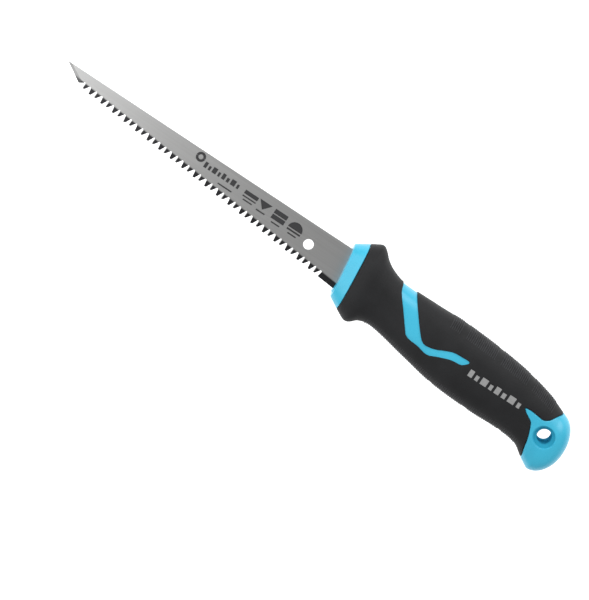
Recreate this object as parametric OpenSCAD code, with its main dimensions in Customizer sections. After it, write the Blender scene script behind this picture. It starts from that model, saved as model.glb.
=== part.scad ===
// Drywall jab saw: a toothed steel blade held in a hard handle, with a soft grip moulded over it.
// The saw lies on its side. X runs from the blade's point towards the handle's butt, Y runs from
// the teeth towards the blade's spine, and Z goes through the handle from side to side.
// Everything is drawn from the collar's front corner on the spine line (x = 0, y = 0), then moved
// so that the middle of the hanging hole is the origin.

/* [Blade] */
// Length of the blade that shows, from its point to the collar
blade_len = 165; // [130:1:220]
// Thickness of the blade's steel
blade_t = 1.3; // [0.9:0.1:2]
// Height of the blade at the collar, over the teeth
heel_h = 21; // [18:0.1:26]
// Height of the blade at its foremost full tooth
toe_h = 7.3; // [5:0.1:10]
// Length of the sharpened front edge, measured along the spine
toe_edge_len = 10.2; // [8:0.1:14]
// Height of the sharpened front edge
toe_edge_h = 6.1; // [4:0.1:7]
// Width of the ground bevel behind the sharpened front edge
toe_bevel_w = 1.8; // [1:0.1:3]
// Steel left at the sharpened edge
edge_land = 0.2; // [0.1:0.05:0.4]

/* [Teeth] */
// Distance from one tooth to the next
tooth_pitch = 3.56; // [3:0.01:4.5]
// Depth of the gullets between the teeth
tooth_h = 3.1; // [2:0.1:3.6]
// Radius at the bottom of each gullet
gullet_r = 0.5; // [0.2:0.05:0.7]
// Width of the flat at a tooth's tip
tooth_tip_w = 0.24; // [0.1:0.02:0.5]
// Bare stretch between the last tooth and the collar
heel_gap = 8.8; // [6:0.1:15]

/* [Blade hole] */
// Diameter of the hole through the blade
blade_hole_d = 5.2; // [3:0.1:7]
// Distance of that hole from the collar
blade_hole_x = 18.8; // [14:0.1:40]
// Distance of that hole from the spine
blade_hole_y = 10; // [8:0.1:11]

/* [Tang] */
// How far the tang reaches into the handle
tang_len = 84; // [50:1:90]
// Height of the tang behind its shoulders
tang_h = 15; // [10:0.5:18]
// Distance from the spine line to the tang's upper edge
tang_drop = 4.5; // [3:0.5:7]
// Distance from the collar to the tang's shoulders
shoulder_x = 6; // [5:0.5:9]
// Diameter of the holes that key the tang into the handle
key_d = 6; // [4:0.5:8]
// Distance from one key hole to the next
key_step = 22; // [15:1:28]

/* [Handle] */
// Length of the handle along the spine
handle_len = 141.2; // [125:0.1:175]
// Greatest thickness of the handle, at the palm
handle_t = 26; // [21:0.1:32]
// Thickness of the collar at its front
collar_t = 15; // [10:0.1:20]
// Thickness of the handle at the guard
guard_t = 23; // [18:0.1:28]
// Thickness of the handle at the neck
neck_t = 20.4; // [17:0.1:26]
// Thickness of the handle at the hanging hole
butt_t = 20.8; // [17:0.1:26]
// Height of the neck
neck_h = 26.4; // [24:0.1:31]
// Height of the handle at the palm
palm_h = 33.4; // [28:0.1:40]
// How far the collar stands above the spine at its front
collar_rise = 2.9; // [1.5:0.1:5]
// How far the collar stands below the teeth at its front
collar_lip = 4; // [3:0.1:6]
// How far the guard flares above the collar
guard_rise = 7; // [3:0.1:10]
// How far the guard flares below the collar
guard_drop = 6.3; // [3:0.1:9]
// How far the butt hangs below the spine line
butt_low = 42.5; // [38:0.1:50]
// Slant of the collar's front face
collar_slant = 8.2; // [0:0.1:12]
// Width of the hard band round the collar
band_w = 7.3; // [5:0.1:8.5]

/* [Grip] */
// Thickness of the soft grip over the hard handle
grip_wall = 2.2; // [1.5:0.1:3]
// How far the hard stripe lies below the grip's surface
stripe_recess = 0.5; // [0.2:0.1:1]

/* [Hanging hole] */
// Diameter of the hanging hole at its throat
hang_d = 7.4; // [6:0.1:11]
// Diameter of the hanging hole at each side's rim
hang_rim_d = 11.8; // [11:0.1:14]
// Length of the straight throat
hang_throat = 14; // [4:0.5:15]
// Distance from the hanging hole to the butt's end
hang_from_end = 13; // [12.5:0.1:16]
// Distance from the hanging hole to the spine line
hang_below = 23.8; // [22:0.1:27]

/* [Hidden] */
steel = [0.74, 0.75, 0.76];
hard_blue = [0.28, 0.74, 0.88];
soft_grey = [0.17, 0.17, 0.18];

hang_x = handle_len - hang_from_end;
tooth_slope = (heel_h - toe_h) / (blade_len - toe_edge_len);
tooth_count = floor((blade_len - toe_edge_len - heel_gap) / tooth_pitch);
heel_block_x = -heel_gap + 0.65 * tooth_pitch;
toe_angle = atan2(toe_edge_h, toe_edge_len);
toe_edge_run = sqrt(toe_edge_h * toe_edge_h + toe_edge_len * toe_edge_len);

// Places along the handle that the outline turns on
guard_x = 12.3;
low_guard_x = 16.2;
neck_x = 30;
mid_x = 68;
end_x = handle_len - 11;
end_y = -27;

// The outline on the spine side, from the collar to where the butt rounds over
guard_top = collar_rise + guard_rise;
spine_side = [
    [-6, -0.4],
    [0, collar_rise],
    [guard_x - 2.8, guard_top - 1.2],
    [guard_x, guard_top],
    [guard_x + 3, guard_top - 1.8],
    [guard_x + 5.7, 0.55 * guard_top],
    [guard_x + 10.2, 0.27 * guard_top],
    [neck_x, 0.4],
    [neck_x + 20, 0.2],
    [mid_x, 0.5],
    [end_x - 30, -2],
    [end_x - 10, -6.1],
    [end_x, -9.8]
];

// The outline on the belly side, over the same stretch
collar_bottom = -heel_h - collar_lip;
guard_bottom = collar_bottom - guard_drop;
neck_bottom = 0.2 - neck_h;
palm_bottom = -0.8 - palm_h;
belly_side = [
    [-6, collar_bottom + 6.5],
    [3.7, collar_bottom],
    [low_guard_x - 3.2, guard_bottom + 1.2],
    [low_guard_x, guard_bottom],
    [low_guard_x + 2.4, guard_bottom + 0.9],
    [low_guard_x + 5.2, 0.3 * guard_bottom + 0.7 * neck_bottom],
    [neck_x - 2, neck_bottom],
    [neck_x + 20, 0.52 * neck_bottom + 0.48 * palm_bottom],
    [mid_x, palm_bottom + 1.1],
    [end_x - 38, palm_bottom],
    [end_x - 23, palm_bottom + 0.3],
    [end_x - 12, palm_bottom - 1],
    [end_x - 4.5, 0.3 * palm_bottom - 0.7 * butt_low],
    [end_x, -butt_low]
];

// Half of the thickness, over the same stretch
side = [
    [-6, 0.36 * collar_t],
    [0, 0.5 * collar_t],
    [guard_x, 0.5 * guard_t],
    [neck_x - 8, 0.25 * (guard_t + neck_t)],
    [neck_x, 0.5 * neck_t],
    [mid_x - 10, 0.47 * handle_t],
    [mid_x + 14, 0.5 * handle_t],
    [end_x - 18, 0.25 * (handle_t + butt_t)],
    [end_x, 0.5 * butt_t]
];

// Height at x of a smooth curve through points that run along x
function step_of(points, x, i = 0) =
    i >= len(points) - 2 || x < points[i + 1][0] ? i : step_of(points, x, i + 1);
function rise_at(points, i) =
    let (a = points[max(i - 1, 0)], b = points[min(i + 1, len(points) - 1)])
    (b[1] - a[1]) / (b[0] - a[0]);
function smooth(points, x) =
    let (i = step_of(points, x))
    let (a = points[i], b = points[i + 1], w = b[0] - a[0], t = (x - a[0]) / w)
    a[1] * (2 * t * t * t - 3 * t * t + 1) + b[1] * (3 * t * t - 2 * t * t * t)
    + w * rise_at(points, i) * (t * t * t - 2 * t * t + t)
    + w * rise_at(points, i + 1) * (t * t * t - t * t);

// How far the butt's end has rounded over at x, from 0 to 1
function end_share(x) = max(0, (x - end_x) / (handle_len - end_x));
function top_y(x) =
    x <= end_x
    ? smooth(spine_side, x)
    : end_y + (spine_side[len(spine_side) - 1][1] - 0.3 * (x - end_x) - end_y)
        * sqrt(1 - pow(end_share(x), 3));
function low_y(x) =
    x <= end_x
    ? smooth(belly_side, x)
    : end_y + (-butt_low - end_y) * sqrt(1 - pow(end_share(x), 2));
function half_t(x) =
    smooth(side, min(x, end_x)) * pow(1 - pow(end_share(x), 2.6), 1 / 2.6);

// The handle is drawn as rings of points. Each ring starts at its own place on the spine side and
// leans as it goes down to the belly: with the collar's slant at the front, with the hard stripe
// at the neck, and with the edge of the hard butt at the back. The edges of the soft grip are then
// rings and rows of the same net, so the soft and the hard moulding meet in the very same faces.
// A ring is [place on the spine side, share of the stripe's lean, share of the butt edge's lean].
collar_rings = [for (t = [0, 0.33, 0.67]) [t * band_w, 0, 0]];
guard_rings = concat(
    [[band_w, 0, 0]],
    [for (x = [guard_x - 3.1:1.5:guard_x + 7]) [x, 0, 0]],
    [for (t = [0.15, 0.35, 0.57, 0.8]) [guard_x + 7.5 + 12 * t, t, 0]]
);
stripe_w = 8.2;
stripe_x = neck_x + 1;
stripe_rings = [for (t = [0, 0.33, 0.67]) [stripe_x + stripe_w * t, 1, 0]];
tail_rings = [
    for (t = [0, 0.1, 0.22, 0.35, 0.48, 0.61, 0.74, 0.87])
        [stripe_x + stripe_w + 36 * t, 1 - 0.8 * t, 0]
];
palm_x = stripe_x + stripe_w + 36;
palm_rings = [
    for (t = [0:0.125:0.9]) [palm_x + (end_x - palm_x) * t, max(0.2 - t, 0), t]
];
butt_shares = [0, 0.2, 0.38, 0.54, 0.68, 0.8, 0.88, 0.94, 0.975, 0.994];
leaning = concat(collar_rings, guard_rings, stripe_rings, tail_rings, palm_rings);
band_end = len(collar_rings);
stripe_start = band_end + len(guard_rings);
stripe_end = stripe_start + len(stripe_rings);
tail_end = stripe_end + len(tail_rings);
butt_start = len(leaning);
rings = butt_start + len(butt_shares);

// Points round a ring. Row 0 lies on the spine side and row ring / 2 on the belly side.
ring = 32;
tail_row = 9;
roundness = 2.5;
function bulge(v) = sign(v) * pow(abs(v), 2 / roundness);
function row_height(k) = bulge(cos(360 * k / ring));

// Height on the handle at x, where c runs from 1 on the spine side to -1 on the belly side
function y_at(x, c) = (top_y(x) + low_y(x)) / 2 + c * (top_y(x) - low_y(x)) / 2;

// The leans: the collar's slant, the stripe's slope and the edge of the hard butt with its spur
function slant_at(x, c, n = 4) =
    n == 0 ? x : x + tan(collar_slant) * (collar_rise - y_at(slant_at(x, c, n - 1), c));
function stripe_lean(c) = 15.5 * min(max((0.9 - c) / 1.36, 0), 1);
butt_edge = [
    [-1, -6], [-0.5, -7.6], [-0.15, -10], [0, -17], [0.22, -13], [0.5, -4], [0.8, -1.2], [1, 0.2]
];
function ring_x(i, c) =
    i >= butt_start
    ? let (t = butt_shares[i - butt_start], x = end_x + smooth(butt_edge, c))
        x + t * (handle_len - x)
    : let (r = leaning[i], slanted = slant_at(r[0], c) - r[0])
        r[0] + slanted * (1 - r[1]) * (1 - r[2]) + r[1] * stripe_lean(c)
        + r[2] * smooth(butt_edge, c);

// The stripe's tail climbs towards the spine, and the rows of points climb with it
tail_climb = [
    [-50, 0], [neck_x + 22, 0], [neck_x + 36, 0.27], [neck_x + 47, 0.4], [end_x - 10, 0], [999, 0]
];
function net_point(i, k, inset) =
    let (c0 = row_height(k), x = ring_x(i, c0))
    let (c = c0 + smooth(tail_climb, x) * pow(1 - c0 * c0, 2))
    let (half = (top_y(x) - low_y(x)) / 2, deep = half_t(x), a = 360 * k / ring)
    let (spread = pow(max(1 - pow(abs(c), roundness), 0), 1 / roundness) * sign(sin(a)))
    [x, y_at(x, 0) + c * max(half - inset, 0.2), spread * max(deep - inset, 0.2)];

// Three nets, one inside the other: the grip's surface, the stripe and the hard core under the grip
SURFACE = 0;
STRIPE = 1;
CORE = 2;
depths = [0, stripe_recess, grip_wall];
net = [for (d = depths, i = [0:rings - 1], k = [0:ring - 1]) net_point(i, k, d)];
function id(d, i, k) = (d * rings + i) * ring + (k + ring) % ring;

// Which net the hard moulding follows in the cell behind ring i and beside row k
function cell(i, k) =
    let (row = min((k + ring) % ring, ring - 1 - (k + ring) % ring))
    i < band_end || i >= butt_start ? SURFACE
    : i >= stripe_start && i < stripe_end && row <= tail_row ? STRIPE
    : i >= stripe_end && i < tail_end && row == tail_row ? STRIPE
    : CORE;
function two(a, b, c, d) = [[a, c, b], [a, d, c]];
function tile(d, i, k) = two(id(d, i, k), id(d, i, k + 1), id(d, i + 1, k + 1), id(d, i + 1, k));
function across(p, q, i, k) = two(id(p, i, k), id(p, i, k + 1), id(q, i, k + 1), id(q, i, k));
function along(p, q, i, k) = two(id(p, i + 1, k), id(p, i, k), id(q, i, k), id(q, i + 1, k));

// Soft posts run right through the hard handle behind the tang, each from a cell of the core's net
// to the same cell of the other side. These are the walls of one post, in a loop round its cell.
post_row = 7;
post_rings = [tail_end + 4, tail_end + 6];
function is_post(i, k) =
    (k == post_row || k == ring - 1 - post_row) && len(search(i, post_rings)) > 0;
function post_walls(i) =
    let (k = post_row, loop = [[i, k], [i, k + 1], [i + 1, k + 1], [i + 1, k]])
    [
        for (n = [0:3]) let (p = loop[n], q = loop[(n + 1) % 4])
            each two(id(CORE, p[0], p[1]), id(CORE, q[0], q[1]),
                id(CORE, q[0], ring - q[1]), id(CORE, p[0], ring - p[1]))
    ];

// The hard moulding before the tang and the hanging hole are taken out of it
module hard_form() {
    tiles = [
        for (i = [0:rings - 2], k = [0:ring - 1]) if (!is_post(i, k)) each tile(cell(i, k), i, k)
    ];
    tunnels = [for (i = post_rings) each post_walls(i)];
    steps_across = [
        for (i = [1:rings - 2], k = [0:ring - 1])
            if (cell(i - 1, k) != cell(i, k)) each across(cell(i - 1, k), cell(i, k), i, k)
    ];
    steps_along = [
        for (i = [0:rings - 2], k = [0:ring - 1])
            if (cell(i, k - 1) != cell(i, k)) each along(cell(i, k - 1), cell(i, k), i, k)
    ];
    front = [for (k = [0:ring - 1]) id(SURFACE, 0, k)];
    back = [for (k = [ring - 1:-1:0]) id(SURFACE, rings - 1, k)];
    polyhedron(
        points = net,
        faces = concat(tiles, tunnels, steps_across, steps_along, [front, back])
    );
}

// The soft skin: the surface net, with the core net and the hard moulding's walls turned inside out
module skin_form() {
    soft = [for (i = [0:rings - 2], k = [0:ring - 1]) if (cell(i, k) == CORE) [i, k]];
    tiles = [for (s = soft) each tile(SURFACE, s[0], s[1])];
    lining = concat(
        [for (s = soft) if (!is_post(s[0], s[1])) each tile(CORE, s[0], s[1])],
        [for (i = post_rings) each post_walls(i)]
    );
    walls = [
        for (s = soft) let (i = s[0], k = s[1]) each concat(
            cell(i - 1, k) != CORE ? across(SURFACE, CORE, i, k) : [],
            cell(i + 1, k) != CORE ? across(CORE, SURFACE, i + 1, k) : [],
            cell(i, k - 1) != CORE ? along(SURFACE, CORE, i, k) : [],
            cell(i, k + 1) != CORE ? along(CORE, SURFACE, i, k + 1) : []
        )
    ];
    polyhedron(
        points = net,
        faces = concat(tiles, [for (t = concat(lining, walls)) [t[2], t[1], t[0]]])
    );
}

// The outline of the blade: spine, point, sharpened edge, teeth, heel and tang
function tooth_line(x) = -heel_h - tooth_slope * x;
function gullet(x) =
    let (y = tooth_line(x) + tooth_h - gullet_r)
    [for (a = [165:-30:15]) [x + gullet_r * cos(a), y + gullet_r * sin(a)]];
teeth = [
    for (i = [tooth_count - 1:-1:0]) let (x = -heel_gap - i * tooth_pitch)
        each concat(
            gullet(x - tooth_pitch / 2),
            [[x - tooth_tip_w / 2, tooth_line(x)], [x + tooth_tip_w / 2, tooth_line(x)]]
        )
];
module blade_outline() {
    tang_low = -tang_drop - tang_h;
    toe_x = -blade_len + toe_edge_len;
    polygon(concat(
        [[-blade_len, 0], [toe_x - tooth_tip_w, -toe_edge_h], [toe_x, -toe_edge_h]],
        teeth,
        gullet(-heel_gap + tooth_pitch / 2),
        [
            [heel_block_x, tooth_line(heel_block_x)],
            [shoulder_x, tooth_line(shoulder_x)],
            [shoulder_x, tang_low],
            [tang_len - 6, tang_low],
            [tang_len, tang_low + 6],
            [tang_len, -tang_drop - 6],
            [tang_len - 6, -tang_drop],
            [shoulder_x, -tang_drop],
            [shoulder_x, 0]
        ]
    ));
}

// The steel as it is cut out, with the holes through it
module blade_blank() {
    difference() {
        linear_extrude(height = blade_t, center = true)
            blade_outline();
        translate([-blade_hole_x, -blade_hole_y, 0])
            cylinder(h = 3 * blade_t, d = blade_hole_d, center = true, $fn = 48);
        for (k = [1:3])
            translate([tang_len - 14 - (3 - k) * key_step, -tang_drop - tang_h / 2, 0])
                cylinder(h = 3 * blade_t, d = key_d, center = true, $fn = 48);
    }
}

// The wedge of steel that grinding takes off one side of the front edge
module ground_off() {
    translate([-blade_len, 0, 0])
        rotate([0, 0, -toe_angle])
            translate([-5, 0, 0])
                rotate([90, 0, 90])
                    linear_extrude(height = toe_edge_run + 4.6)
                        polygon([
                            [-1, edge_land / 2], [0, edge_land / 2],
                            [toe_bevel_w, blade_t / 2 + 0.01], [toe_bevel_w, blade_t], [-1, blade_t]
                        ]);
}

// The steel blade with its tang
module blade() {
    color(steel)
        translate([-hang_x, hang_below, 0])
            difference() {
                blade_blank();
                ground_off();
                mirror([0, 0, 1]) ground_off();
            }
}

// The hard handle: collar, stripe and butt in one moulding, cast round the tang
module handle_core() {
    flare = (hang_rim_d - hang_d) / (butt_t - hang_throat);
    reach = 0.7 * butt_t;
    reach_r = hang_d / 2 + flare * (reach - hang_throat / 2);
    color(hard_blue)
        difference() {
            translate([-hang_x, hang_below, 0]) hard_form();
            translate([-hang_x, hang_below, 0]) blade_blank();
            rotate_extrude($fn = 64)
                polygon([
                    [0, -reach], [reach_r, -reach], [hang_d / 2, -hang_throat / 2],
                    [hang_d / 2, hang_throat / 2], [reach_r, reach], [0, reach]
                ]);
        }
}

// The soft grip: one skin over both sides, joined through the hard handle by its posts
module soft_grip() {
    color(soft_grey)
        translate([-hang_x, hang_below, 0])
            skin_form();
}

blade();
handle_core();
soft_grip();
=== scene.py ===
import bpy
import math
from mathutils import Vector, Matrix


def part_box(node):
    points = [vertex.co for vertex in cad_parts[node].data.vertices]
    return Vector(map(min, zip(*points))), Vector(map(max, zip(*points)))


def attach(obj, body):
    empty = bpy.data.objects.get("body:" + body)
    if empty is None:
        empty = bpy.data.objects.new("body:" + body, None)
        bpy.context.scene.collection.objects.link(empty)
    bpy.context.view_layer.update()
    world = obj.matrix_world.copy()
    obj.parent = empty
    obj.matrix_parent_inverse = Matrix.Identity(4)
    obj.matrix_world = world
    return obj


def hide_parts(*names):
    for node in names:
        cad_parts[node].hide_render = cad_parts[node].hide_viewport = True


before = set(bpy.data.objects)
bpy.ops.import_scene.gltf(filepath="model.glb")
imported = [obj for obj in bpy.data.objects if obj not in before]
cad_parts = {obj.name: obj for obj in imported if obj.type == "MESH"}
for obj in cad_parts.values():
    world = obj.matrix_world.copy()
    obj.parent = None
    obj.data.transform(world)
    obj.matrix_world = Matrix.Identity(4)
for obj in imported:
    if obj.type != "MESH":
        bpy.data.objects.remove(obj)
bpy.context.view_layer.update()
print("frame loaded")

# Lengths below are millimetres in the saw's drawing frame: x from the collar's front corner
# towards the butt, y up from the spine line, z across the handle.
mm = 0.001
handleLen = 141.2
corner = Vector((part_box("handle_core")[1].x - handleLen * mm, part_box("blade")[1].y, 0))


def at(x, y, z=0.0):
    return corner + Vector((x, y, z)) * mm


# small helpers
def only(piece):
    if bpy.context.object and bpy.context.object.mode != "OBJECT":
        bpy.ops.object.mode_set(mode="OBJECT")
    bpy.ops.object.select_all(action="DESELECT")
    piece.select_set(True)
    bpy.context.view_layer.objects.active = piece


def newMesh(name, points, faces=(), edges=()):
    mesh = bpy.data.meshes.new(name)
    mesh.from_pydata([tuple(p) for p in points], list(edges), list(faces))
    mesh.update()
    piece = bpy.data.objects.new(name, mesh)
    bpy.context.scene.collection.objects.link(piece)
    return piece


def modify(piece, kind, **settings):
    only(piece)
    mod = piece.modifiers.new(kind.lower(), kind)
    for key, value in settings.items():
        setattr(mod, key, value)
    bpy.ops.object.modifier_apply(modifier=mod.name)


def carve(piece, cutter, operation="DIFFERENCE", solver="MANIFOLD"):
    modify(piece, "BOOLEAN", operation=operation, solver=solver, object=cutter)
    bpy.data.objects.remove(cutter, do_unlink=True)


def outwards(piece):
    only(piece)
    bpy.ops.object.mode_set(mode="EDIT")
    bpy.ops.mesh.select_all(action="SELECT")
    bpy.ops.mesh.normals_make_consistent(inside=False)
    bpy.ops.object.mode_set(mode="OBJECT")


def smoothShade(piece, degrees=35):
    only(piece)
    bpy.ops.object.shade_smooth_by_angle(angle=math.radians(degrees))


def joined(name, pieces):
    only(pieces[0])
    for piece in pieces[1:]:
        piece.select_set(True)
    bpy.ops.object.join()
    piece = bpy.context.object
    piece.name = name
    return piece


def prism(name, outline, low=-20.0, high=20.0):
    # an outline of the plane, filled and pulled up into a solid
    piece = newMesh(name, [at(p[0], p[1], low) for p in outline], [range(len(outline))])
    only(piece)
    bpy.ops.object.mode_set(mode="EDIT")
    bpy.ops.mesh.select_all(action="SELECT")
    bpy.ops.mesh.extrude_region_move(TRANSFORM_OT_translate={"value": (0, 0, (high - low) * mm)})
    bpy.ops.object.mode_set(mode="OBJECT")
    outwards(piece)
    return piece


def bar(x0, y0, x1, y1):
    return [(x0, y0), (x1, y0), (x1, y1), (x0, y1)]


def smoothHeight(points, x):
    # height at x of a smooth curve through points that run along x
    last = len(points) - 1
    i = 0
    while i < last - 1 and x >= points[i + 1][0]:
        i += 1

    def rise(n):
        a, b = points[max(n - 1, 0)], points[min(n + 1, last)]
        return (b[1] - a[1]) / (b[0] - a[0])

    a, b = points[i], points[i + 1]
    w = b[0] - a[0]
    t = (x - a[0]) / w
    return (a[1] * (2 * t**3 - 3 * t**2 + 1) + b[1] * (3 * t**2 - 2 * t**3)
            + w * rise(i) * (t**3 - 2 * t**2 + t) + w * rise(i + 1) * (t**3 - t**2))


def smoothLine(points, steps=5):
    # a smooth open line through points of the plane
    out = []
    last = len(points) - 1
    for i in range(last):
        a, b = Vector(points[i]), Vector(points[i + 1])
        before, after = Vector(points[max(i - 1, 0)]), Vector(points[min(i + 2, last)])
        slopeA, slopeB = (b - before) / 2, (after - a) / 2
        for k in range(steps):
            t = k / steps
            out.append(a * (2 * t**3 - 3 * t**2 + 1) + b * (3 * t**2 - 2 * t**3)
                       + slopeA * (t**3 - 2 * t**2 + t) + slopeB * (t**3 - t**2))
    out.append(Vector(points[-1]))
    return out


# the handle's rounded body, the form that the hard and the soft moulding share
body = {
    "spine": [(-6, -0.4), (0, 2.9), (9.5, 8.7), (12.3, 9.9), (15.3, 8.1), (18, 5.45),
              (22.5, 2.67), (30, 0.4), (50, 0.2), (68, 0.5), (100.2, -2), (120.2, -6.1),
              (130.2, -9.8)],
    "belly": [(-6, -18.5), (3.7, -25), (13, -30.1), (16.2, -31.3), (18.6, -30.4),
              (21.4, -27.7), (28, -26.2), (50, -30), (68, -33.1), (92.2, -34.2),
              (107.2, -33.9), (118.2, -35.2), (125.7, -40), (130.2, -42.5)],
    "side": [(-6, 5.4), (0, 7.5), (12.3, 11.5), (22, 10.85), (30, 10.2), (58, 12.2),
             (82, 13), (112.2, 11.7), (130.2, 10.4)],
    "endX": 130.2,
    "endY": -27.0,
    "rimFall": 0.3,
    "topPower": 3,
    "lowPower": 2,
    "sidePower": 2.6,
    "roundness": 2.5,
    "thinnest": 0.1,
    "ringPoints": 112,
    "ringStep": 0.9,
    "lastStep": 0.4,     # least part of a step that is left before the round butt
    "endRings": 19,
    "endRingSpan": 18.25,
}

# corners of cutters that reach past the body
outside = {
    "front": -30,
    "rear": 160,
    "above": 30,
    "below": -60,
}


def endShare(x):
    return min(max(0.0, (x - body["endX"]) / (handleLen - body["endX"])), 1.0)


def topY(x):
    if x <= body["endX"]:
        return smoothHeight(body["spine"], x)
    rim = body["spine"][-1][1] - body["rimFall"] * (x - body["endX"])
    return body["endY"] + (rim - body["endY"]) * math.sqrt(1 - endShare(x) ** body["topPower"])


def lowY(x):
    if x <= body["endX"]:
        return smoothHeight(body["belly"], x)
    rim = body["belly"][-1][1]
    return body["endY"] + (rim - body["endY"]) * math.sqrt(1 - endShare(x) ** body["lowPower"])


def halfT(x):
    fall = (1 - endShare(x) ** body["sidePower"]) ** (1 / body["sidePower"])
    return smoothHeight(body["side"], min(x, body["endX"])) * fall


def bulge(v):
    return math.copysign(abs(v) ** (2 / body["roundness"]), v)


def skinPoint(x, angle, lift):
    # a point of the body's surface, lifted along the section's normal
    half, deep = (topY(x) - lowY(x)) / 2, halfT(x)
    c, s = bulge(math.cos(angle)), bulge(math.sin(angle))
    power = body["roundness"] - 1
    normal = Vector((math.copysign(abs(c) ** power, c) / half,
                     math.copysign(abs(s) ** power, s) / deep)).normalized()
    return Vector((x, (topY(x) + lowY(x)) / 2 + half * c + normal.x * lift,
                   deep * s + normal.y * lift))


def bodyForm(name, inset=0.0, front=-5.0):
    # rings laid along the handle, closing over the round butt
    count = body["ringPoints"]
    xs = []
    x = front
    while x < body["endX"] - body["lastStep"] * body["ringStep"]:
        xs.append(x)
        x += body["ringStep"]
    rest = handleLen - inset - body["endX"]
    xs += [body["endX"] + rest * math.sin(math.pi / 2 * k / body["endRingSpan"])
           for k in range(body["endRings"])]
    points = []
    for x in xs:
        outerX = body["endX"] + (x - body["endX"]) * (handleLen - body["endX"]) / rest
        source = x if x <= body["endX"] else outerX
        half = max((topY(source) - lowY(source)) / 2 - inset, body["thinnest"])
        deep = max(halfT(source) - inset, body["thinnest"])
        mid = (topY(source) + lowY(source)) / 2
        for k in range(count):
            a = 2 * math.pi * k / count
            points.append(at(x, mid + half * bulge(math.cos(a)), deep * bulge(math.sin(a))))
    faces = []
    for i in range(len(xs) - 1):
        for k in range(count):
            a, b = i * count + k, i * count + (k + 1) % count
            faces.append((a, b, b + count, a + count))
    last = (len(xs) - 1) * count
    faces.append(tuple(range(count)))
    faces.append(tuple(range(last, last + count)))
    piece = newMesh(name, points, faces)
    outwards(piece)
    return piece


# where the soft grip ends: behind the collar's band, round the stripe, and before the butt
zone = {
    "bandRear": [(5.4, 18), (11.6, -44)],
    "stripe": [(28.4, 4), (29.9, 0.3), (31.2, -3.5), (36.8, -10.4), (42.6, -17.6), (44.2, -19.3),
               (47, -20.2), (51.7, -20.5), (57.7, -21.5), (63, -19.3), (68.8, -17.1),
               (73.4, -16.5), (75.1, -15.8), (77.2, -13.6), (76.6, -12.8), (73.1, -12.9),
               (68.3, -13.3), (64.1, -14.9), (59.6, -17.1), (55.3, -18.1), (53.1, -17.8),
               (51.1, -16.4), (46.9, -11.7), (40.7, -4), (38.2, -0.3), (36.4, 4)],
    "buttUpper": [(134, -2), (131.6, -7.6), (130.1, -10.1), (128.1, -12), (125.7, -15.2),
                  (123, -16.8), (119.5, -16.5), (115.1, -16.1), (111.7, -16.5)],
    "buttLower": [(111.7, -16.5), (113.7, -18.4), (115.9, -19.7), (118, -21), (119.6, -23.8),
                  (121.6, -29), (122.8, -33.5), (123.9, -36.7), (125.2, -41), (127, -47)],
}


def shrunk(outline, by):
    # an outline moved inwards by a little, each point along its own normal
    count = len(outline)
    after = [outline[(i + 1) % count] for i in range(count)]
    area = sum(outline[i][0] * after[i][1] - after[i][0] * outline[i][1] for i in range(count))
    turn = 1 if area > 0 else -1
    out = []
    for i in range(count):
        a, b = Vector(outline[i - 1]), Vector(after[i])
        along = (b - a).normalized()
        out.append(Vector(outline[i]) + Vector((-along.y, along.x)) * by * turn)
    return out


def bandOutline(gap=0.0):
    high, low = zone["bandRear"]
    return [(outside["front"], high[1]), (high[0] - gap, high[1]),
            (low[0] - gap, low[1]), (outside["front"], low[1])]


def buttOutline(gap=0.0):
    loop = smoothLine(zone["buttUpper"]) + smoothLine(zone["buttLower"])[1:]
    loop = loop + [Vector((outside["rear"], zone["buttLower"][-1][1])),
                   Vector((outside["rear"], zone["buttUpper"][0][1]))]
    return shrunk(loop, gap) if gap else loop


hole = {
    "x": 128.2,
    "y": -23.8,
    "throat": 3.7,
    "rim": 5.25,
    "straight": 7.0,
    "reach": 10.4,
    "flare": [(2.6, 2.6), (0.75, 0.3), (0.25, -0.4), (0, -1.0)],     # past the rim and the reach
    "throatEdge": (0.15, 0.3),
    "clearance": 7,     # radius kept free of the moulding under the grip
}


def holeCutter(name):
    # half of the profile, spun round the hole's own axis
    h = hole
    edgeR, edgeZ = h["throatEdge"]
    profile = [(h["rim"] + r, h["reach"] + z) for r, z in h["flare"]]
    profile += [(h["throat"] + edgeR, h["straight"] + edgeZ), (h["throat"], h["straight"])]
    profile = profile + [(r, -z) for r, z in reversed(profile)]
    points = [at(h["x"] + r, h["y"], z) for r, z in profile]
    edges = [(i, i + 1) for i in range(len(points) - 1)]
    piece = newMesh(name, points, (), edges)
    only(piece)
    bpy.ops.object.mode_set(mode="EDIT")
    bpy.ops.mesh.select_all(action="SELECT")
    bpy.ops.mesh.spin(steps=64, angle=math.tau, center=at(h["x"], h["y"]), axis=(0, 0, 1))
    bpy.ops.mesh.select_all(action="SELECT")
    bpy.ops.mesh.remove_doubles(threshold=0.00001)
    bpy.ops.mesh.select_all(action="DESELECT")
    bpy.ops.mesh.select_non_manifold()
    bpy.ops.mesh.edge_face_add()
    bpy.ops.object.mode_set(mode="OBJECT")
    outwards(piece)
    return piece


def dropDoublets(piece):
    # a vertex with only two edges folds its two faces back on each other, so it is dissolved
    joins = [0] * len(piece.data.vertices)
    for edge in piece.data.edges:
        for end in edge.vertices:
            joins[end] += 1
    only(piece)
    bpy.ops.object.mode_set(mode="EDIT")
    bpy.ops.mesh.select_mode(type="VERT")
    bpy.ops.mesh.select_all(action="DESELECT")
    bpy.ops.object.mode_set(mode="OBJECT")
    for vertex in piece.data.vertices:
        vertex.select = joins[vertex.index] == 2
    bpy.ops.object.mode_set(mode="EDIT")
    bpy.ops.mesh.dissolve_verts()
    bpy.ops.object.mode_set(mode="OBJECT")


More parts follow.
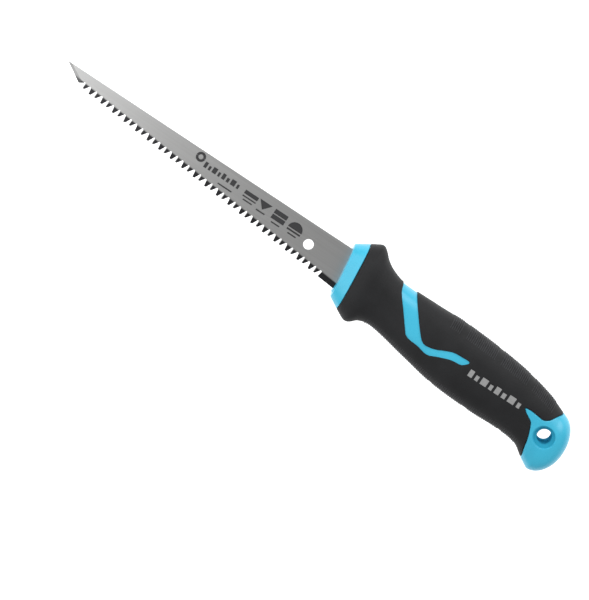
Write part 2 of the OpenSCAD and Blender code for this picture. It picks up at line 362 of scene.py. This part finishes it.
def rounded(piece, voxel, passes=4):
    # an even fine mesh, relaxed so that every edge gets a moulded radius
    only(piece)
    piece.data.remesh_voxel_size = voxel * mm
    bpy.ops.object.voxel_remesh()
    modify(piece, "SMOOTH", factor=0.5, iterations=passes)


def dropSlivers(piece):
    # the cuts leave edges of hardly any length, and once those are gone, vertices with two edges
    only(piece)
    bpy.ops.object.mode_set(mode="EDIT")
    bpy.ops.mesh.select_all(action="SELECT")
    bpy.ops.mesh.dissolve_degenerate(threshold=0.000002)
    bpy.ops.object.mode_set(mode="OBJECT")
    dropDoublets(piece)


hardSizes = {
    "skinInset": 0.03,      # collar and butt lie this far inside the body's surface
    "bandGap": 0.3,
    "buttGap": 0.25,
    "frontLean": 8.2,       # degrees that the collar's front leans
    "frontTop": 2.9,
    "collarVoxel": 0.25,
    "buttVoxel": 0.29,
    "coreInset": 1.7,
    "coreFront": 3.0,
    "stripeInset": 0.5,
    "stripeFront": 20.0,
    "stripeRear": (88, -60, 150, 20),       # the box cut away behind the stripe
}


def hardHandle():
    h = hardSizes
    # collar band
    collar = bodyForm("collar", h["skinInset"])
    carve(collar, prism("band", bandOutline(h["bandGap"])), "INTERSECT")
    slant = math.tan(math.radians(h["frontLean"]))
    high, low = outside["above"], outside["below"]
    front = [(outside["front"], high), (slant * (h["frontTop"] - high), high),
             (slant * (h["frontTop"] - low), low), (outside["front"], low)]
    carve(collar, prism("front", front))
    rounded(collar, h["collarVoxel"])
    # butt with the hanging hole
    butt = bodyForm("butt", h["skinInset"])
    carve(butt, prism("buttZone", buttOutline(h["buttGap"])), "INTERSECT")
    carve(butt, holeCutter("hole"))
    rounded(butt, h["buttVoxel"])
    # the moulding under the soft grip: nearer the surface where the stripe shows
    piece = bodyForm("hard_handle", h["coreInset"], h["coreFront"])
    bpy.ops.mesh.primitive_cylinder_add(vertices=48, radius=hole["clearance"] * mm, depth=0.04,
                                        location=at(hole["x"], hole["y"]))
    carve(piece, bpy.context.object)
    inner = bodyForm("inner", h["stripeInset"], h["stripeFront"])
    carve(inner, prism("behind", bar(*h["stripeRear"])))
    for part in (inner, collar, butt):
        carve(piece, part, "UNION")
    dropSlivers(piece)
    smoothShade(piece)
    return piece


gripSizes = {
    "voxel": 0.43,
    "wall": 0.62,
    "smoothBelow": 45,
}


def softGrip():
    piece = bodyForm("grip")
    carve(piece, prism("band", bandOutline()))
    carve(piece, prism("stripe", smoothLine(zone["stripe"])))
    carve(piece, prism("butt", buttOutline()))
    rounded(piece, gripSizes["voxel"])
    carve(piece, bodyForm("lining", gripSizes["wall"]))
    dropSlivers(piece)
    smoothShade(piece, gripSizes["smoothBelow"])
    return piece


ribs = {
    "pitch": 1.05,
    "width": 0.62,
    "rise": 0.32,
    "spineRange": (60, 125),
    "spineAngle": 50,
    "bellyRange": (25, 118),
    "bellyAngle": 42,
    "gaps": [(66, 69), (86.5, 90), (107, 110)],
    "section": [(-0.5, -0.2), (-0.33, 0.6), (0, 1), (0.33, 0.6), (0.5, -0.2)],
    "foot": -0.15,      # depth of the section's two lowest corners
    "steps": 16,
    "fade": 5,          # one part in this many of half the length runs down to the skin
    "endRise": 0.1,
    "smoothBelow": 60,
}


def ribBar(x, middle, spread, points, faces):
    # one low rounded bar laid across an edge of the grip
    steps, section, endRise = ribs["steps"], ribs["section"], ribs["endRise"]
    start = len(points)
    for k in range(steps + 1):
        share = 2 * k / steps - 1
        taper = min(1, (1 - abs(share)) * ribs["fade"])
        angle = middle + math.radians(spread) * share
        for dx, lift in section:
            height = ribs["foot"]
            if lift > 0:
                height = ribs["rise"] * (lift * (endRise + (1 - endRise) * taper))
            p = skinPoint(x, angle, height)
            points.append(at(p.x + dx * ribs["width"], p.y, p.z))
    size = len(section)
    for k in range(steps):
        for n in range(size):
            a, b = start + k * size + n, start + k * size + (n + 1) % size
            faces.append((a, b, b + size, a + size))
    faces.append(tuple(start + n for n in range(size)))
    faces.append(tuple(start + steps * size + n for n in range(size)))


def gripRibs():
    points, faces = [], []
    for (low, high), middle, spread in ((ribs["spineRange"], 0, ribs["spineAngle"]),
                                        (ribs["bellyRange"], math.pi, ribs["bellyAngle"])):
        x = low
        while x < high:
            if not any(a <= x <= b for a, b in ribs["gaps"]):
                ribBar(x, middle, spread, points, faces)
            x += ribs["pitch"]
    piece = newMesh("grip_ribs", points, faces)
    outwards(piece)
    smoothShade(piece, ribs["smoothBelow"])
    return piece


blade = {
    "length": 165.0,
    "thickness": 1.3,
    "heelHeight": 21.0,
    "toeHeight": 7.3,
    "edgeRun": 10.2,
    "edgeDrop": 6.1,
    "pitch": 3.56,
    "toothHeight": 3.1,
    "tip": 1.1,
    "tipShift": 0.2,
    "tipFollow": 0.6,
    "tipDrop": 0.5,
    "tipNarrow": 0.3,
    "tipSlope": 0.12,
    "lean": 0.6,
    "heelGap": 8.8,
    "heelTooth": 0.65,
    "grind": 0.42,
    "gulletAngles": (175, 130, 90, 50, 5),
    "gulletWidth": 0.42,
    "gulletDepth": 0.5,
    "gulletFlare": 0.75,
    "gulletRise": 0.45,
    "core": 0.2,            # share of the thickness that the point's bevels leave square
    "bevelBack": 1.25,
    "bevelMiddle": 1.35,
    "bevelMiddleAt": 6,
    "bevelToe": 1.9,
    "toeStep": 0.24,
    "holeX": -18.8,
    "holeY": -10.0,
    "holeRadius": 2.6,
    "tangStart": 7,
    "tangEnd": 30.0,
    "tangHigh": -4.5,
    "tangLow": -19.5,
    "smoothBelow": 12,
}


def toothLine(x):
    b = blade
    return -b["heelHeight"] - (b["heelHeight"] - b["toeHeight"]) / (b["length"] - b["edgeRun"]) * x


def bladeOutline(level):
    # the blade's outline at one level through its thickness, from -1 (far face) to 1 (near face)
    b = blade
    loop = []
    edgeIn = max(0.0, (abs(level) - b["core"]) / (1 - b["core"]))
    away = Vector((b["edgeDrop"], b["edgeRun"])).normalized()
    sharp = Vector((b["edgeRun"], -b["edgeDrop"])).normalized()
    loop.append(Vector((-b["length"] + b["bevelBack"] / away.x * edgeIn, 0)))
    loop.append(Vector((-b["length"], 0)) + sharp * b["bevelMiddleAt"]
                + away * b["bevelMiddle"] * edgeIn)
    toe = Vector((-b["length"] + b["edgeRun"], -b["edgeDrop"]))
    loop.append(toe + away * b["bevelToe"] * edgeIn + Vector((-b["toeStep"], 0)))
    loop.append(toe + away * b["bevelToe"] * edgeIn)
    count = int((b["length"] - b["edgeRun"] - b["heelGap"]) / b["pitch"])
    for i in range(count - 1, -2, -1):
        x = -b["heelGap"] - i * b["pitch"]
        gulletX = x - b["pitch"] / 2 + b["lean"]
        gulletY = toothLine(x - b["pitch"] / 2) + b["toothHeight"] - b["gulletDepth"]
        ground = 1 if i % 2 == 0 else -1
        cut = b["grind"] * (1 + ground * level) / 2
        before = b["grind"] * (1 - ground * level) / 2
        for a in b["gulletAngles"]:
            c, s = math.cos(math.radians(a)), math.sin(math.radians(a))
            grow = before if c < 0 else cut
            width = b["gulletWidth"] + b["gulletFlare"] * grow
            height = b["gulletDepth"] + b["gulletRise"] * max(grow, 0)
            loop.append(Vector((gulletX + width * c, gulletY + height * s)))
        if i < 0:
            break
        tipX = x + (b["tipShift"] if i % 2 else -b["tipShift"])
        tipY = toothLine(x + (-b["pitch"] / 2 if i % 2 == 0 else b["pitch"] / 2) * b["tipFollow"])
        drop, narrow = b["tipDrop"] * cut, b["tipNarrow"] * cut
        loop.append(Vector((tipX - b["tip"] / 2 + narrow, tipY + drop)))
        loop.append(Vector((tipX + b["tip"] / 2 - narrow, tipY + drop + b["tipSlope"])))
    heel = -b["heelGap"] + b["heelTooth"] * b["pitch"]
    front, rear, high, low = b["tangStart"], b["tangEnd"], b["tangHigh"], b["tangLow"]
    loop += [Vector((heel, toothLine(heel))), Vector((front, toothLine(front))),
             Vector((front, low)), Vector((rear, low)),
             Vector((rear, high)), Vector((front, high)), Vector((front, 0))]
    return loop


def sawBlade():
    b = blade
    levels = [-1, -b["core"], b["core"], 1]
    loops = [bladeOutline(level) for level in levels]
    count = len(loops[0])
    points = []
    for level, loop in zip(levels, loops):
        points += [at(p.x, p.y, level * b["thickness"] / 2) for p in loop]
    last = len(levels) - 1
    faces = [tuple(range(count)), tuple(range(last * count, (last + 1) * count))]
    for n in range(last):
        for k in range(count):
            a, c = n * count + k, n * count + (k + 1) % count
            faces.append((a, c, c + count, a + count))
    piece = newMesh("saw_blade", points, faces)
    outwards(piece)
    bpy.ops.mesh.primitive_cylinder_add(vertices=48, radius=b["holeRadius"] * mm, depth=0.004,
                                        location=at(b["holeX"], b["holeY"]))
    carve(piece, bpy.context.object, solver="EXACT")
    smoothShade(piece, b["smoothBelow"])
    return piece


def arc(x, y, r, start, end, steps=16):
    return [(x + r * math.cos(math.radians(start + (end - start) * k / steps)),
             y + r * math.sin(math.radians(start + (end - start) * k / steps)))
            for k in range(steps + 1)]


def ringBar(x, y, outer, inner, start, end):
    return arc(x, y, outer, start, end) + arc(x, y, inner, end, start)


marks = {
    "blocks": [1.7, 1.3, 2.4, 1.3, 1.9, 1.5, 2.6, 1.3],
    "gap": 1.0,
    "lower": 0.25,                          # share of the height that every other block lacks
    "thick": 0.03,
    "ring": (-85.8, -3.3, 2.5, 1.2),
    "halves": [(1, 179), (181, 359)],
    "bladeRow": (-82.4, -6.7, -3.7, -62.3),
    "signs": [
        bar(-72, -9.8, -64, -9.1),
        bar(-58.8, -6.4, -51.2, -4.4),
        bar(-58.8, -7.9, -51.2, -7.2),
        bar(-57.6, -9.5, -52.4, -8.8),
        [(-50.6, -4.2), (-43.4, -4.2), (-47, -8.4)],
        bar(-49.6, -10.1, -44.6, -9.4),
        bar(-41.5, -6.4, -34.2, -4.1),
        bar(-41.5, -9.2, -34.2, -6.9),
        bar(-40.2, -11.1, -35.4, -10.4),
        arc(-28.3, -7.9, 3.9, 0, 180),
        bar(-32.1, -9.4, -24.5, -8.5),
        bar(-30.6, -11.1, -25.8, -10.4),
    ],
    "gripRow": (79.5, -18.8, -15.2, 109.5),
    "sunk": -0.3,
    "proud": 0.05,
    "plateSteps": 6,
}


def blockRow(x, low, high, end):
    # a row of plain blocks, every other one a little lower
    total = sum(marks["blocks"]) + marks["gap"] * (len(marks["blocks"]) - 1)
    grow = (end - x) / total
    rows = []
    for k, width in enumerate(marks["blocks"]):
        top = high if k % 2 == 0 else high - marks["lower"] * (high - low)
        rows.append(bar(x, low, x + width * grow, top))
        x += (width + marks["gap"]) * grow
    return rows


def bladeMarks():
    # a ring in two halves, a row of blocks, a bar, and four plain signs with bars under them
    shapes = [ringBar(*marks["ring"], start, end) for start, end in marks["halves"]]
    shapes += blockRow(*marks["bladeRow"]) + marks["signs"]
    z = blade["thickness"] / 2
    pieces = [prism("mark", shape, z - marks["thick"], z + marks["thick"]) for shape in shapes]
    return joined("blade_marks", pieces)


def skinZ(x, y):
    half, mid = (topY(x) - lowY(x)) / 2, (topY(x) + lowY(x)) / 2
    share = min(abs((y - mid) / half), 1)
    return halfT(x) * (1 - share ** body["roundness"]) ** (1 / body["roundness"])


def gripMarks():
    # the same kind of row on the palm, each block a little plate laid on the curved skin
    pieces = []
    steps = marks["plateSteps"]
    for outline in blockRow(*marks["gripRow"]):
        (x0, y0), (x1, y1) = outline[0], outline[2]
        points, faces = [], []
        for lift in (marks["sunk"], marks["proud"]):
            for j in range(steps + 1):
                for i in range(steps + 1):
                    x, y = x0 + (x1 - x0) * i / steps, y0 + (y1 - y0) * j / steps
                    points.append(at(x, y, skinZ(x, y) + lift))
        layer, row = (steps + 1) ** 2, steps + 1
        for j in range(steps):
            for i in range(steps):
                a = j * row + i
                faces.append((a, a + 1, a + 1 + row, a + row))
                faces.append((a + layer, a + 1 + layer, a + 1 + row + layer, a + row + layer))
        rim = (list(range(row)) + [j * row + steps for j in range(1, row)]
               + [steps * row + i for i in range(steps - 1, -1, -1)]
               + [j * row for j in range(steps - 1, 0, -1)])
        for n in range(len(rim)):
            a, b = rim[n], rim[(n + 1) % len(rim)]
            faces.append((a, b, b + layer, a + layer))
        piece = newMesh("grip_mark", points, faces)
        outwards(piece)
        pieces.append(piece)
    return joined("grip_marks", pieces)


# materials
def material(name):
    mat = bpy.data.materials.new(name)
    mat.use_nodes = True
    nodes, links = mat.node_tree.nodes, mat.node_tree.links
    return mat, nodes, links, nodes["Principled BSDF"]


def objectCoords(nodes, links, scale):
    coords = nodes.new("ShaderNodeTexCoord")
    mapping = nodes.new("ShaderNodeMapping")
    mapping.inputs["Scale"].default_value = scale
    links.new(coords.outputs["Object"], mapping.inputs["Vector"])
    return mapping.outputs["Vector"]


def noise(nodes, links, scale, size, detail=4.0):
    tex = nodes.new("ShaderNodeTexNoise")
    tex.inputs["Scale"].default_value = size
    tex.inputs["Detail"].default_value = detail
    links.new(objectCoords(nodes, links, scale), tex.inputs["Vector"])
    return tex.outputs["Fac"]


def ramp(nodes, links, source, stops):
    node = nodes.new("ShaderNodeValToRGB")
    node.color_ramp.elements[0].position = stops[0][0]
    node.color_ramp.elements[0].color = (*stops[0][1], 1)
    node.color_ramp.elements[1].position = stops[-1][0]
    node.color_ramp.elements[1].color = (*stops[-1][1], 1)
    for place, colour in stops[1:-1]:
        element = node.color_ramp.elements.new(place)
        element.color = (*colour, 1)
    links.new(source, node.inputs["Fac"])
    return node.outputs["Color"]


def bumpFrom(nodes, links, shader, source, strength, distance):
    node = nodes.new("ShaderNodeBump")
    node.inputs["Strength"].default_value = strength
    node.inputs["Distance"].default_value = distance
    links.new(source, node.inputs["Height"])
    links.new(node.outputs["Normal"], shader.inputs["Normal"])


def span(nodes, links, source, low, high, outLow, outHigh):
    node = nodes.new("ShaderNodeMapRange")
    for key, value in (("From Min", low), ("From Max", high),
                       ("To Min", outLow), ("To Max", outHigh)):
        node.inputs[key].default_value = value
    links.new(source, node.inputs["Value"])
    return node.outputs["Result"]


def maths(nodes, links, operation, *sources):
    node = nodes.new("ShaderNodeMath")
    node.operation = operation
    for socket, source in zip(node.inputs, sources):
        if isinstance(source, float):
            socket.default_value = source
        else:
            links.new(source, socket)
    return node.outputs[0]


def mixed(nodes, links, share, low, high):
    # sockets 6, 7 and the third output are a mix node's colours
    node = nodes.new("ShaderNodeMix")
    node.data_type = "RGBA"
    links.new(share, node.inputs["Factor"])
    for place, colour in ((6, low), (7, high)):
        if isinstance(colour, tuple):
            node.inputs[place].default_value = (*colour, 1)
        else:
            links.new(colour, node.inputs[place])
    return node.outputs[2]


def coordinate(nodes, links, source, axis):
    split = nodes.new("ShaderNodeSeparateXYZ")
    links.new(source, split.inputs["Vector"])
    return split.outputs[axis]


middling = (0.3, 0.7)       # the part of a noise's range where nearly all of it lies

bluePlastic = {
    "patches": 60,
    "deep": (0.050, 0.52, 0.76),
    "light": (0.062, 0.57, 0.81),
    "grain": (2600, 2),
    "roughness": (0.26, 0.34),
    "bump": (0.12, 0.00005),
    "tone": 0.96,
    "gloss": 0.5,
    # share of the blue that the hole's wall keeps: painted shade inside the hole
    "holeShadeTone": 0.75,
    "holeGloss": 0.0,
}

softRubber = {
    "patches": 90,
    "deep": (0.0105, 0.0108, 0.0118),
    "light": (0.0155, 0.016, 0.0175),
    "grain": (1900, 3),
    "roughness": (0.58, 0.72),
    "bump": (0.35, 0.00012),
    "tone": 1.0,
    "gloss": 0.32,
    "ribHighlightTone": 2.6,         # the ribs are painted paler, a painted highlight on their crests
}


def moulding(name, look, tone, gloss):
    # a moulded surface: slow patches in its colour, and a fine grain
    mat, nodes, links, shader = material(name)
    patches = noise(nodes, links, (1, 1, 1), look["patches"])
    deep, light = (tuple(c * tone for c in look[key]) for key in ("deep", "light"))
    stops = [(middling[0], deep), (middling[1], light)]
    links.new(ramp(nodes, links, patches, stops), shader.inputs["Base Color"])
    grain = noise(nodes, links, (1, 1, 1), *look["grain"])
    roughness = span(nodes, links, grain, *middling, *look["roughness"])
    links.new(roughness, shader.inputs["Roughness"])
    shader.inputs["Specular IOR Level"].default_value = gloss
    bumpFrom(nodes, links, shader, grain, *look["bump"])
    return mat


steelLook = {
    "brushing": (12, 1400, 300),
    "brushDetail": 6,
    "dark": (0.472, 0.472, 0.469),
    "pale": (0.512, 0.512, 0.508),
    "brushRange": (0.25, 0.75),
    "roughness": (0.275, 0.33),
    "bump": (0.15, 0.00003),
    "bandBelow": 0.05,              # millimetres under the line along the gullets
    "bandEdge": (0.0004, 0.0003),   # metres over which the band fades, below and above it
    "bandColour": (0.045, 0.045, 0.048),
    "faceUp": (0.97, 0.985),        # how squarely a flat face looks out
    "facetUp": (0.1, 0.25),
    # painted reflection: the ground facets' darker colour outside the hardened band
    "facetReflectionColour": (0.30, 0.30, 0.30),
    "facetInBand": (0.09, 0.09, 0.092),
}


def bladeSteel():
    look = steelLook
    mat, nodes, links, shader = material("blade_steel")
    shader.inputs["Metallic"].default_value = 1.0
    brushed = noise(nodes, links, look["brushing"], 1.0, look["brushDetail"])
    stops = [(look["brushRange"][0], look["dark"]), (look["brushRange"][1], look["pale"])]
    steel = ramp(nodes, links, brushed, stops)
    # the hardened band lies below the line along the gullets: height has one value all along it
    place = nodes.new("ShaderNodeTexCoord").outputs["Object"]
    slope = (blade["heelHeight"] - blade["toeHeight"]) / (blade["length"] - blade["edgeRun"])
    height = maths(nodes, links, "MULTIPLY_ADD", coordinate(nodes, links, place, "X"), slope,
                   coordinate(nodes, links, place, "Y"))
    edge = at(0, -blade["heelHeight"] + blade["toothHeight"] - look["bandBelow"])
    level = edge.y + slope * edge.x
    under, over = look["bandEdge"]
    inBand = span(nodes, links, height, level - under, level + over, 1, 0)
    # on the flat faces it is dark
    normal = nodes.new("ShaderNodeNewGeometry").outputs["Normal"]
    squareness = maths(nodes, links, "ABSOLUTE", coordinate(nodes, links, normal, "Z"))
    onFace = span(nodes, links, squareness, *look["faceUp"], 0, 1)
    bandOnFace = maths(nodes, links, "MULTIPLY", inBand, onFace)
    flats = mixed(nodes, links, bandOnFace, steel, look["bandColour"])
    # the ground facets of the teeth and of the point are painted darker than the brushed faces, a
    # painted reflection of darker surroundings
    slanting = span(nodes, links, squareness, *look["facetUp"], 0, 1)
    facet = maths(nodes, links, "SUBTRACT", slanting, onFace)
    facets = mixed(nodes, links, inBand, look["facetReflectionColour"], look["facetInBand"])
    links.new(mixed(nodes, links, facet, flats, facets), shader.inputs["Base Color"])
    roughness = span(nodes, links, brushed, *middling, *look["roughness"])
    links.new(roughness, shader.inputs["Roughness"])
    bumpFrom(nodes, links, shader, brushed, *look["bump"])
    return mat


inkLook = {
    "speckle": (1500, 3),
    "darker": 0.85,
    "roughness": 0.5,
    "onBlade": (0.028, 0.028, 0.03),
    "onGrip": (0.36, 0.36, 0.36),
}


def markInk(name, colour):
    mat, nodes, links, shader = material(name)
    speck = noise(nodes, links, (1, 1, 1), *inkLook["speckle"])
    dark = tuple(c * inkLook["darker"] for c in colour)
    stops = [(middling[0], dark), (middling[1], colour)]
    links.new(ramp(nodes, links, speck, stops), shader.inputs["Base Color"])
    shader.inputs["Roughness"].default_value = inkLook["roughness"]
    return mat


def paint(piece, mat):
    piece.data.materials.clear()
    piece.data.materials.append(mat)


def paintHoleShade(piece, mat):
    # the wall of the hanging hole is painted darker than the outside as painted shade, and is without
    # its gloss
    piece.data.materials.append(mat)
    axis = at(hole["x"], hole["y"])
    for face in piece.data.polygons:
        away = face.center - axis
        if math.hypot(away.x, away.y) < hole["rim"] * mm:
            face.material_index = len(piece.data.materials) - 1


hard = hardHandle()
print("hard handle", len(hard.data.polygons))
soft = softGrip()
print("soft grip", len(soft.data.polygons))
ribbing = gripRibs()
print("ribs", len(ribbing.data.polygons))
steelBlade = sawBlade()
print("blade", len(steelBlade.data.polygons))
bladePrint = bladeMarks()
gripPrint = gripMarks()
print("marks", len(bladePrint.data.polygons), len(gripPrint.data.polygons))

paint(hard, moulding("blue_plastic", bluePlastic, bluePlastic["tone"], bluePlastic["gloss"]))
# the hole's wall gets the blue made darker, a painted shade
paintHoleShade(hard, moulding("hole_wall_painted_shade", bluePlastic, bluePlastic["holeShadeTone"], bluePlastic["holeGloss"]))
paint(soft, moulding("soft_rubber", softRubber, softRubber["tone"], softRubber["gloss"]))
# the ribs get the rubber's colour made paler, a painted highlight
paint(ribbing, moulding("ribs_painted_highlight", softRubber, softRubber["ribHighlightTone"], softRubber["gloss"]))
paint(steelBlade, bladeSteel())
paint(bladePrint, markInk("blade_ink", inkLook["onBlade"]))
paint(gripPrint, markInk("grip_ink", inkLook["onGrip"]))
print("materials", len(bpy.data.materials))

for piece, slotName in ((hard, "hard_handle"), (soft, "soft_grip"), (ribbing, "soft_grip"),
                        (steelBlade, "blade_steel"), (bladePrint, "blade_steel"),
                        (gripPrint, "soft_grip")):
    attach(piece, "root")
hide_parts("handle_core")
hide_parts("soft_grip")
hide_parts("blade")


# floor, light and camera
studioLook = {
    "floorSize": 8,
    "floorPlace": (-0.14, 0, -0.06),
    "floorColour": (0.93, 0.93, 0.93, 1),
    "floorRoughness": 0.9,
    "floorGlow": 0.55,
    "white": (1, 1, 1, 1),
    "sky": 0.385,
    "lamps": [      # name, place, aim, size, watts
        ("key", (-0.735, -0.05, 0.55), (-0.735, -0.05, 0), (1.0, 1.2), 5.85),
        ("fill", (0.3, 1.0, 0.75), (-0.1, 0, 0), (0.8, 0.8), 7.4),
    ],
}


def softbox(name, place, aim, size, power):
    light = bpy.data.lights.new(name, "AREA")
    light.shape = "RECTANGLE"
    light.size, light.size_y = size
    light.energy = power
    lamp = bpy.data.objects.new(name, light)
    bpy.context.scene.collection.objects.link(lamp)
    lamp.location = place
    lamp.rotation_euler = (Vector(aim) - Vector(place)).to_track_quat("-Z", "Y").to_euler()


def studio():
    look = studioLook
    bpy.ops.mesh.primitive_plane_add(size=look["floorSize"], location=look["floorPlace"])
    floor = bpy.context.object
    floor.name = "floor"
    mat, nodes, links, shader = material("floor_paper")
    shader.inputs["Base Color"].default_value = look["floorColour"]
    shader.inputs["Roughness"].default_value = look["floorRoughness"]
    shader.inputs["Emission Color"].default_value = look["white"]
    shader.inputs["Emission Strength"].default_value = look["floorGlow"]
    paint(floor, mat)
    world = bpy.data.worlds.new("studio")
    bpy.context.scene.world = world
    world.use_nodes = True
    background = world.node_tree.nodes["Background"]
    background.inputs["Color"].default_value = look["white"]
    background.inputs["Strength"].default_value = look["sky"]
    for lamp in look["lamps"]:
        softbox(*lamp)


view = {
    "tilt": 10,
    "turn": 33.87,
    "reach": 4.0,
    "target": (-0.1374, -0.0127, 0),
    "width": 0.2853,        # metres across the view at the target
    "sensor": 36,
    "clip": (0.01, 20),
}


def lookFrom():
    tilt, turn, reach = math.radians(view["tilt"]), math.radians(view["turn"]), view["reach"]
    target = Vector(view["target"])
    right = Vector((math.cos(turn), math.sin(turn), 0))
    lean = Matrix.Rotation(-tilt, 3, right)
    up = lean @ Vector((-math.sin(turn), math.cos(turn), 0))
    back = lean @ Vector((0, 0, 1))
    lens = bpy.data.cameras.new("camera")
    lens.sensor_fit = "HORIZONTAL"
    lens.sensor_width = view["sensor"]
    lens.lens = view["sensor"] * reach / view["width"]
    lens.clip_start, lens.clip_end = view["clip"]
    camera = bpy.data.objects.new("camera", lens)
    bpy.context.scene.collection.objects.link(camera)
    camera.matrix_world = Matrix.Translation(target + back * reach) @ Matrix(
        (right, up, back)).transposed().to_4x4()
    bpy.context.scene.camera = camera


studio()
lookFrom()
bpy.context.scene.view_settings.view_transform = "Standard"
print("floor, light and camera set")
